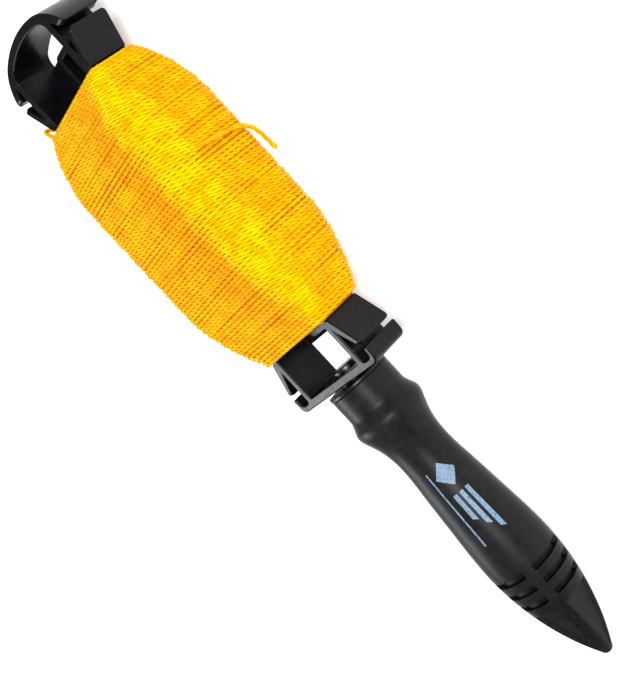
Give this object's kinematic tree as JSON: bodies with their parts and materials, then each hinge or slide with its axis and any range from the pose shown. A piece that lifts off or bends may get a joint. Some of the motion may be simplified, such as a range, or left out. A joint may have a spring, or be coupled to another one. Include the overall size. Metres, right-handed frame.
{
  "type": "builder's line reel",
  "caption": "Flat hand reel wound with twisted builder's line, with a hanging arch and line-catching slots, on a tapered handle that spins freely.",
  "frame": {"origin": "on the spin axis, at the middle of the object's whole length", "axes": "+X along the spin axis towards the handle's point, +Y across the reel's two rails, +Z out of the frame's open front, square to its flat back"},
  "size_m": [0.2726, 0.0585, 0.0368],
  "materials": {
    "black_frame_plastic": "semi-gloss moulded black plastic with pale edges",
    "yellow_line": "bright yellow twisted nylon line, slightly fuzzy",
    "pivot_steel": "plain zinc-plated steel",
    "black_oxide_steel": "steel blackened by a dull oxide finish",
    "bearing_plastic": "matte black plastic",
    "black_grip_plastic": "satin black moulded grip with a fine grain"
  },
  "bodies": {
    "reel": {"reel_frame": "black_frame_plastic", "line_winding": "yellow_line", "line_free_end": "yellow_line"},
    "handle": {"handle_shell": "black_grip_plastic", "neck_plug": "bearing_plastic", "pivot_pin": "black_oxide_steel", "lock_nut": "pivot_steel", "inner_washer": "black_oxide_steel", "thrust_washer": "bearing_plastic"}
  },
  "joints": [
    {"name": "handle_spin", "type": "hinge", "parent": "reel", "child": "handle", "pos_m": [0.01348, 0, 0], "axis": [1, 0, 0], "continuous": true}
  ]
}
